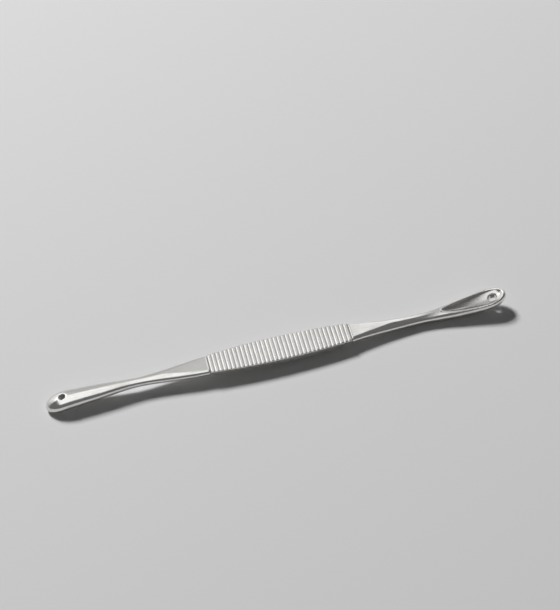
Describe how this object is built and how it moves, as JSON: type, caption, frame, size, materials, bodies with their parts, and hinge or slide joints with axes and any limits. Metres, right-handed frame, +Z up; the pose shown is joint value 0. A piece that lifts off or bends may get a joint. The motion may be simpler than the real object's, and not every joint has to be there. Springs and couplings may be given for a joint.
{
  "type": "blackhead extractor",
  "caption": "Slim steel skin-care hand tool: a flat ribbed grip between tapering necks that end in teardrop scoops with drilled holes, their hollows facing opposite ways.",
  "frame": {"origin": "on the table, midway between the scoops' tips and on the tool's middle line", "axes": "+X along the tool towards the wide scoop, whose hollow faces up; +Y across the grip; +Z up from the table"},
  "size_m": [0.1196, 0.0074, 0.0051],
  "materials": {
    "ribbed_steel": "satin, ground ribs",
    "polished_steel": "polished, finely ground along its length"
  },
  "bodies": {
    "root": {"ribbed_grip": "ribbed_steel", "wide_scoop_end": "polished_steel", "fine_scoop_end": "polished_steel"}
  },
  "joints": []
}
